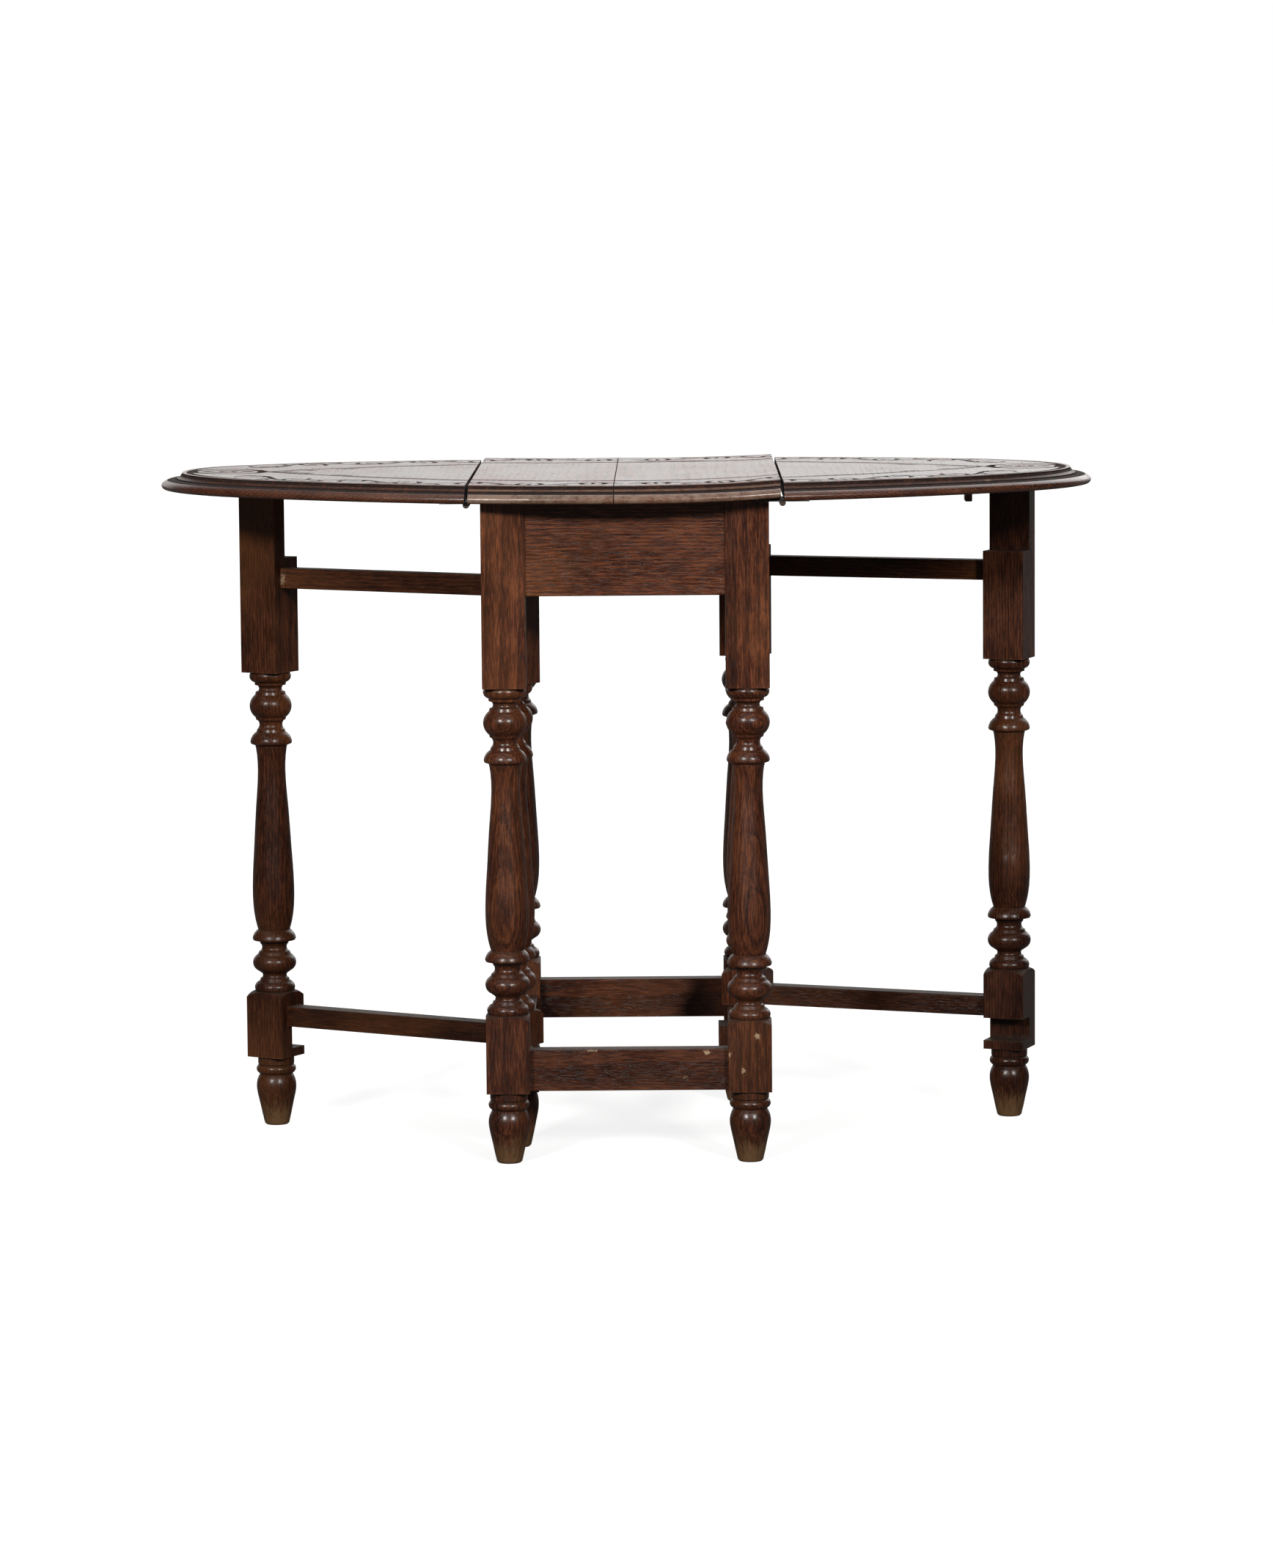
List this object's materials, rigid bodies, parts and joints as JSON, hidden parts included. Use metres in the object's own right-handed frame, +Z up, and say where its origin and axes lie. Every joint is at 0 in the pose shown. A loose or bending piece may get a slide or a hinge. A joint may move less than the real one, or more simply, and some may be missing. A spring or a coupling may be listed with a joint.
{
  "type": "gateleg table",
  "caption": "Oval drop-leaf table in dark oak with turned legs, stretchers and a swinging gate on each side to carry the leaves.",
  "frame": {"origin": "on the floor under the middle of the oval top", "axes": "+X to the right along the long axis of the open top, +Y to the back, +Z up"},
  "size_m": [1.0138, 0.6096, 0.72],
  "materials": {
    "oak_top": "dark stained oak with a worn wax polish and shallow carving",
    "oak_frame": "dark red-brown stained oak, satin polish",
    "oak_gates": "dark red-brown stained oak, satin polish",
    "oak_pins": "bare oak, rubbed",
    "oak_blocks": "sawn oak, stained",
    "hinge_iron": "blackened wrought iron",
    "hinge_screws": "aged steel"
  },
  "bodies": {
    "frame": {"apron_back": "oak_frame", "apron_front": "oak_frame", "centre_board_left": "oak_top", "centre_board_right": "oak_top", "corner_block_back_left": "oak_blocks", "corner_block_back_right": "oak_blocks", "corner_block_front_left": "oak_blocks", "corner_block_front_right": "oak_blocks", "hinge_back_left_pin": "hinge_iron", "hinge_back_left_plate_fixed": "hinge_iron", "hinge_back_left_plate_moving": "hinge_iron", "hinge_back_left_screws": "hinge_screws", "hinge_back_right_pin": "hinge_iron", "hinge_back_right_plate_fixed": "hinge_iron", "hinge_back_right_plate_moving": "hinge_iron", "hinge_back_right_screws": "hinge_screws", "hinge_front_left_pin": "hinge_iron", "hinge_front_left_plate_fixed": "hinge_iron", "hinge_front_left_plate_moving": "hinge_iron", "hinge_front_left_screws": "hinge_screws", "hinge_front_right_pin": "hinge_iron", "hinge_front_right_plate_fixed": "hinge_iron", "hinge_front_right_plate_moving": "hinge_iron", "hinge_front_right_screws": "hinge_screws", "leaf_block": "oak_blocks", "leaf_left": "oak_top", "leaf_right": "oak_top", "leg_back_left": "oak_frame", "leg_back_right": "oak_frame", "leg_front_left": "oak_frame", "leg_front_right": "oak_frame", "side_rail_left": "oak_frame", "side_rail_right": "oak_frame", "side_stretcher_left": "oak_frame", "side_stretcher_right": "oak_frame", "stretcher_back": "oak_frame", "stretcher_front": "oak_frame", "stub_foot_left": "oak_frame", "stub_foot_right": "oak_frame"},
    "gate_left": {"gate_leg_left": "oak_gates", "gate_rail_lower_left": "oak_gates", "gate_rail_upper_left": "oak_gates", "pivot_pin_bottom_left": "oak_pins", "pivot_pin_top_left": "oak_pins", "pivot_post_left": "oak_gates"},
    "gate_right": {"gate_leg_right": "oak_gates", "gate_rail_lower_right": "oak_gates", "gate_rail_upper_right": "oak_gates", "pivot_pin_bottom_right": "oak_pins", "pivot_pin_top_right": "oak_pins", "pivot_post_right": "oak_gates"}
  },
  "joints": [
    {"name": "gate_left_swing", "type": "hinge", "parent": "frame", "child": "gate_left", "pos_m": [-0.124, -0.142, 0.3], "axis": [0, 0, 1], "range_deg": [-60.5, 17.5]},
    {"name": "gate_right_swing", "type": "hinge", "parent": "frame", "child": "gate_right", "pos_m": [0.131, 0.142, 0.3], "axis": [0, 0, 1], "range_deg": [-69, 9]}
  ]
}
